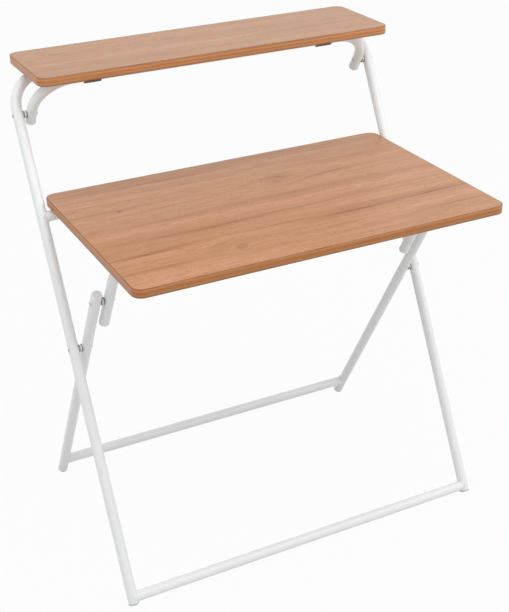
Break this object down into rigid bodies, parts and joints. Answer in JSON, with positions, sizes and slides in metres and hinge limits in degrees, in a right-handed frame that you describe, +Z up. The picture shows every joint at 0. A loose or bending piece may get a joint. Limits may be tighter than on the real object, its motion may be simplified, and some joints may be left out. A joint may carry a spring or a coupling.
{
  "type": "folding desk",
  "caption": "Folding desk: wood-grain desktop and raised rear shelf on a crossed frame of bent white round tube with riveted pivots, folding flat against its posts.",
  "frame": {"origin": "centre of the bounding box at floor level", "axes": "+X to the user's right, +Y from the user to the rear, +Z up"},
  "size_m": [0.8602, 0.666, 1.028],
  "materials": {
    "white_tube": "satin white powder coat",
    "wood_laminate": "matt wood-grain melamine laminate",
    "edge_band": "wood-grain edge band, slight sheen",
    "cap_plastic": "moulded light grey plastic",
    "foot_plastic": "moulded grey plastic",
    "rivet_steel": "zinc-plated steel",
    "fitting_plastic": "moulded dark plastic"
  },
  "bodies": {
    "post_frame": {"post_frame_tube": "white_tube", "front_floor_bar": "white_tube", "rest_rail": "white_tube", "front_foot_caps": "foot_plastic", "left_cross_rivet": "rivet_steel", "right_cross_rivet": "rivet_steel", "cross_spacers": "cap_plastic", "left_shelf_rivet": "rivet_steel", "right_shelf_rivet": "rivet_steel", "shelf_spacers": "cap_plastic"},
    "inner_legs": {"left_inner_leg": "white_tube", "right_inner_leg": "white_tube", "rear_floor_bar": "white_tube", "rear_foot_caps": "foot_plastic", "leg_top_caps": "cap_plastic", "left_desk_rivet": "rivet_steel", "right_desk_rivet": "rivet_steel", "desk_spacers": "cap_plastic"},
    "desktop": {"desktop_board": "wood_laminate", "desktop_edge_band": "edge_band", "desk_brace_tube": "white_tube", "desk_brace_caps": "cap_plastic", "desk_brace_saddles": "fitting_plastic", "desk_saddle_screws": "rivet_steel", "rail_clips": "fitting_plastic", "rail_clip_screws": "rivet_steel"},
    "shelf": {"shelf_board": "wood_laminate", "shelf_edge_band": "edge_band", "shelf_brace_tube": "white_tube", "shelf_brace_caps": "cap_plastic", "shelf_brace_saddles": "fitting_plastic", "shelf_saddle_screws": "rivet_steel", "shelf_clips": "fitting_plastic", "shelf_clip_screws": "rivet_steel"}
  },
  "joints": [
    {"name": "leg_fold", "type": "hinge", "parent": "post_frame", "child": "inner_legs", "pos_m": [0, 0.00632, 0.48838], "axis": [1, 0, 0], "range_deg": [-55.5, 0]},
    {"name": "desktop_fold", "type": "hinge", "parent": "inner_legs", "child": "desktop", "pos_m": [0, -0.07558, 0.62742], "axis": [1, 0, 0], "range_deg": [0, 117.95]},
    {"name": "shelf_fold", "type": "hinge", "parent": "post_frame", "child": "shelf", "pos_m": [0, 0.23433, 0.92453], "axis": [1, 0, 0], "range_deg": [0, 62.4]}
  ],
  "couplings": [
    {"joint": "desktop_fold", "follows": "leg_fold", "ratio": -2.1243}
  ]
}
